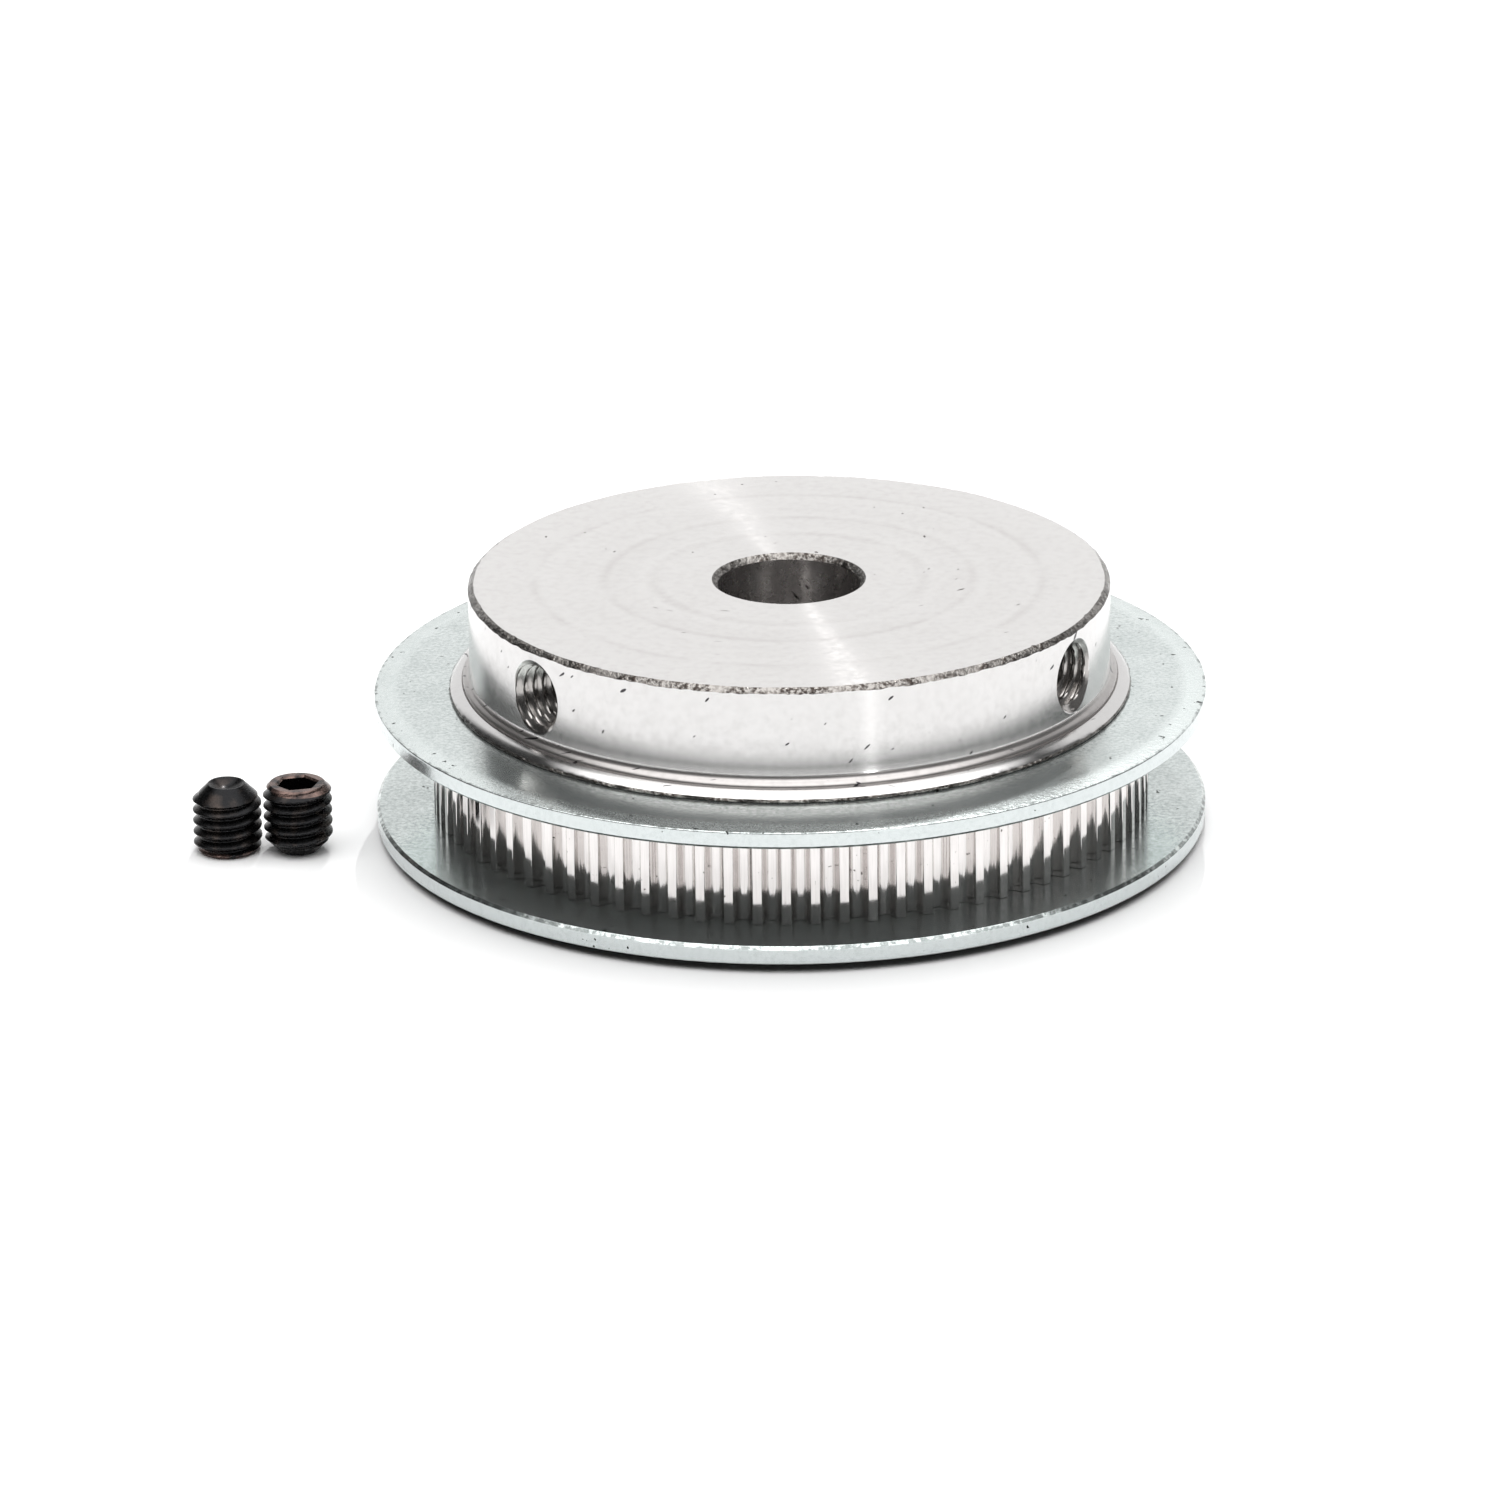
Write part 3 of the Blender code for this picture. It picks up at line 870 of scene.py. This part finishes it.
def makeTap(angle):
    # the tap's path as a closed threaded rod, laid along its hole
    t = tapped
    length = t["outerEnd"] - t["innerEnd"]
    wall = body["hubRadius"] - t["innerEnd"]
    values = threadValues(t["majorRadius"], t["minorRadius"], t["pitch"], length, t["columns"],
                          int(length / t["pitch"] * t["rowsPerPitch"]), t["flat"], turned,
                          **{"Mouth": t["mouthRadius"], "Mouth Start": wall - t["mouthDepth"],
                             "Mouth End": wall + 0.05})
    mesh = runNodes("tapPath", bpy.data.meshes.new("tapPath"), threadTree, values)
    closeEnds(mesh)
    tilt = Matrix.Rotation(math.radians(90), 4, "X")
    turn = Matrix.Rotation(math.radians(angle), 4, "Z")
    out = Matrix.Translation((0, 0, t["innerEnd"] * mm))
    mesh.transform(Matrix.Translation(axis + Vector((0, 0, t["height"] * mm))) @ turn @ tilt @ out)
    return mesh


def cutBy(item, mesh):
    cutter = bpy.data.objects.new(mesh.name, mesh)
    bpy.context.scene.collection.objects.link(cutter)
    modifier = item.modifiers.new(mesh.name, "BOOLEAN")
    modifier.operation = "DIFFERENCE"
    modifier.solver = "MANIFOLD"
    modifier.object = cutter
    return cutter


def makeBody():
    blank = bpy.data.objects.new("bodyBlank", makeBlank())
    bpy.context.scene.collection.objects.link(blank)
    for material in (faced, shadedTurned, bored, burred, hobbed, tappedSkin):
        blank.data.materials.append(material)
    overrun = grooves["overrun"]
    values = {"Count": grooves["count"], "First Angle": math.radians(grooves["firstAngle"]),
              "Width": (body["toothTop"] - body["toothBottom"] + 2 * overrun) * mm,
              "Axis": axis, "Round Steps": grooves["roundSteps"], "Material": hobbed}
    cutters = [cutBy(blank, runNodes("grooveCutters", makeGrooveSection(), grooveTree, values))]
    cutters += [cutBy(blank, makeTap(angle)) for angle in tapped["angles"]]
    mesh = bakedMesh(blank, "pulleyBody")
    for cutter in cutters:
        bpy.data.objects.remove(cutter, do_unlink=True)
    paintBody(mesh)
    piece = addPiece("pulleyBody", mesh)
    sharpenFacedEdges(mesh)
    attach(piece, "pulley")
    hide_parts("pulley_body")


def paintBody(mesh):
    # the flat faces are faced, the bore bored, the teeth and threads cut; the rest is turned
    slots = {material.name: index for index, material in enumerate(mesh.materials) if material}
    for face in mesh.polygons:
        outwards = (face.center - axis) * (1 / mm)
        radius = math.hypot(outwards.x, outwards.y)
        inRing = body["toothBottom"] - 0.01 < outwards.z < body["toothTop"] + 0.01
        isFlat = abs(face.normal.z) > 0.98 and body["boreRadius"] + body["boreChamfer"] < radius
        if inRing and radius > body["spigotRadius"] + 0.1:
            kind = "hobbedAluminium"
        elif radius < body["boreRadius"] + 0.01:
            kind = "boredAluminium"
        elif outwards.z > body["hubTop"] - body["hubChamfer"] - 0.02 and not isFlat:
            kind = "burredAluminium"
        elif radius > body["lipRadius"] - 0.1 and outwards.z > body["toothTop"]:
            kind = "burredAluminium"
        # the ring at the hub's foot takes the darker copy of the turned metal: painted shade
        elif body["hubRadius"] + 0.04 < radius < body["footRing"] + 0.02 and outwards.z > body["toothTop"]:
            kind = "rubbedAluminium"
        elif isFlat and radius < body["hubRadius"]:
            kind = "facedAluminium"
        elif radius < body["hubRadius"] - 0.02 and 1.0 < outwards.z < body["hubTop"] - 1.0:
            kind = "tappedAluminium"
        else:
            kind = "turnedAluminium"
        face.material_index = slots[kind]


def sharpenFacedEdges(mesh):
    # so that the broken edges beside a faced surface don't shade it
    slots = {material.name: index for index, material in enumerate(mesh.materials) if material}
    kinds = {}
    for face in mesh.polygons:
        for key in face.edge_keys:
            kinds.setdefault(key, set()).add(face.material_index)
    for edge in mesh.edges:
        around = kinds.get(edge.key, set())
        if len(around) > 1 and slots["facedAluminium"] in around:
            edge.use_edge_sharp = True


makeBody()
print("body is ready")

# Flanges, in mm; the belt side is the one with the larger bevel
flange = {
    "columns": 480,
    "holeRadius": 23.75,
    "rollWidth": 1.75,           # the stamped edge sinks a little over this width
    "rollDrop": 0.08,
    "underDrop": 0.03,           # the same on the side that the pulley stands on
    "rollSteps": 6,
    "rollPower": 1.7,
    "faceSteps": 8,
    "edgeRound": 0.10,
    "beltBevel": 0.22,
    "fineWander": 0.03,          # of the outer edge
    "slowWander": 0.02,
}


def flangeOutline(outer, thickness, drop):
    # outer face on top, belt side below
    f = flange
    outline = [(f["holeRadius"], 0.0), (f["holeRadius"], thickness)]
    rollStart = outer - f["rollWidth"]
    for step in range(1, f["faceSteps"] + 1):
        outline.append((f["holeRadius"] + (rollStart - f["holeRadius"]) * step / f["faceSteps"], thickness))
    for step in range(1, f["rollSteps"] + 1):
        share = step / f["rollSteps"]
        outline.append((rollStart + (f["rollWidth"] - f["edgeRound"]) * share,
                        thickness - drop * share ** f["rollPower"]))
    outline += arc(outer - f["edgeRound"], thickness - drop - f["edgeRound"], f["edgeRound"], 80, 0, 4)
    outline += [(outer, thickness * step / 4) for step in (3, 2, 1) if thickness * step / 4 > f["beltBevel"]
                and thickness * step / 4 < thickness - drop - f["edgeRound"]]
    outline += [(outer, f["beltBevel"]), (outer - f["beltBevel"], 0.0)]
    return outline


def makeFlange(node, name, outerSideUp, seed):
    low, high = cornersOf(node)
    outer, thickness = (high.x - low.x) / 2 / mm, (high.z - low.z) / mm
    outline = flangeOutline(outer, thickness, flange["rollDrop" if outerSideUp else "underDrop"])
    if not outerSideUp:
        outline = [(radius, thickness - height) for radius, height in reversed(outline)]
    base = (low.z - axis.z) / mm
    outline = [(radius, height + base) for radius, height in outline]

    def wander(index, outwards):
        radius = outline[index][0]
        if radius < outer - flange["beltBevel"] - 0.01:
            return (0.0, 0.0)
        fine, slow = abs(ragged(outwards, 50, seed)), abs(ragged(outwards, 7, seed))
        return (-flange["fineWander"] * fine - flange["slowWander"] * slow, 0.0)

    piece = addPiece(name, turnedMesh(name, outline, flange["columns"], zinc, wander), 40)
    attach(piece, "pulley")
    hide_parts(node)


makeFlange("upper_flange", "upperFlange", True, 3.3)
makeFlange("lower_flange", "lowerFlange", False, 7.7)
print("flanges are ready")

# Set screws, in mm
setScrew = {
    "rootRadius": 1.98,
    "pitch": 0.8,
    "columns": 96,
    "rowsPerPitch": 24,
    "flat": 0.10,
    "socketEndRadius": 1.92,
    "socketEndTaper": 0.5,
    "pointHeight": 1.12,
    "cupRim": 1.3,
    "cupRimWidth": 0.10,
    "cupDepth": 0.5,
    "socketFlats": 2.5,
    "socketDepth": 2.2,
    "socketLead": 0.14,
    "socketTip": 0.45,           # the drill's cone under the socket
    "rubbedPart": 0.8,           # of socketEndTaper
}


def hexRadius(angle, acrossFlats):
    sixth = math.pi / 3
    return acrossFlats / 2 / math.cos((angle % sixth) - sixth / 2)


def angleOf(vert):
    return math.atan2(vert.co.y, vert.co.x)


def carryRing(bm, ring, radiusAt, height):
    # joins an end's open ring to a new one, laid at a radius and height
    made = []
    for vert in ring:
        angle = angleOf(vert)
        radius = radiusAt(angle) * mm
        made.append(bm.verts.new((radius * math.cos(angle), radius * math.sin(angle), height * mm)))
    for index, vert in enumerate(ring):
        after = (index + 1) % len(ring)
        bm.faces.new((vert, ring[after], made[after], made[index]))
    return made


def closeWithPoint(bm, ring, height):
    tip = bm.verts.new((0, 0, height * mm))
    for vert, following in zip(ring, ring[1:] + ring[:1]):
        bm.faces.new((vert, following, tip))


def makeSetScrewMesh(length, crest):
    s = setScrew
    rows = int(length / s["pitch"] * s["rowsPerPitch"])
    values = threadValues(crest, s["rootRadius"], s["pitch"], length, s["columns"], rows, s["flat"], oxide,
                          **{"Low End": s["socketEndRadius"], "Low Taper": s["socketEndTaper"],
                             "High End": s["cupRim"], "High Taper": s["pointHeight"]})
    mesh = runNodes("setScrew", bpy.data.meshes.new("setScrew"), threadTree, values)
    bm = bmesh.new()
    bm.from_mesh(mesh)
    ends = sorted((vert for vert in bm.verts if vert.is_boundary), key=angleOf)
    socketEnd = [vert for vert in ends if vert.co.z < length * mm / 2]
    cupEnd = [vert for vert in ends if vert.co.z > length * mm / 2]

    flats = s["socketFlats"]
    ring = carryRing(bm, socketEnd, lambda angle: hexRadius(angle, flats) + s["socketLead"], 0.0)
    ring = carryRing(bm, ring, lambda angle: hexRadius(angle, flats), s["socketLead"])
    ring = carryRing(bm, ring, lambda angle: hexRadius(angle, flats), s["socketDepth"])
    ring = carryRing(bm, ring, lambda angle: flats / 2 * 0.9, s["socketDepth"] + 0.05)
    closeWithPoint(bm, ring, s["socketDepth"] + s["socketTip"])

    ring = carryRing(bm, cupEnd, lambda angle: s["cupRim"] - s["cupRimWidth"], length)
    for share in (0.75, 0.5, 0.25):
        ring = carryRing(bm, ring, lambda angle: (s["cupRim"] - s["cupRimWidth"]) * share,
                         length - s["cupDepth"] * (1 - share ** 2))
    closeWithPoint(bm, ring, length - s["cupDepth"])
    bmesh.ops.recalc_face_normals(bm, faces=bm.faces)
    mesh.materials.clear()
    mesh.materials.append(oxide)
    mesh.materials.append(rubbedOxide)
    for face in bm.faces:
        place = face.calc_center_median()
        onEnd = (place.z < s["socketEndTaper"] * s["rubbedPart"] * mm
                 and math.hypot(place.x, place.y) > flats / 2 * mm)
        face.material_index = 1 if onEnd else 0
    bm.to_mesh(mesh)
    bm.free()
    return mesh


def makeSetScrew(node, name, bodyName, socketUp, turn):
    low, high = cornersOf(node)
    middle = (low + high) / 2
    length, crest = (high.z - low.z) / mm, (high.x - low.x) / 2 / mm
    mesh = makeSetScrewMesh(length, crest)
    spin = Matrix.Rotation(math.radians(turn), 4, "Z")
    flip = Matrix.Rotation(math.pi, 4, "X") if socketUp else Matrix()
    mesh.transform(Matrix.Translation((middle.x, middle.y, high.z if socketUp else low.z)) @ spin @ flip)
    piece = addPiece(name, mesh, 35)
    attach(piece, bodyName)
    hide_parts(node)


makeSetScrew("set_screw_point_up", "setScrewPointUp", "point_up_screw", False, 40)
makeSetScrew("set_screw_socket_up", "setScrewSocketUp", "socket_up_screw", True, 13)
print("set screws are ready")

for item in bpy.data.objects:
    if item.type == "MESH" and not item.hide_render:
        print(item.name, len(item.data.polygons), "faces")
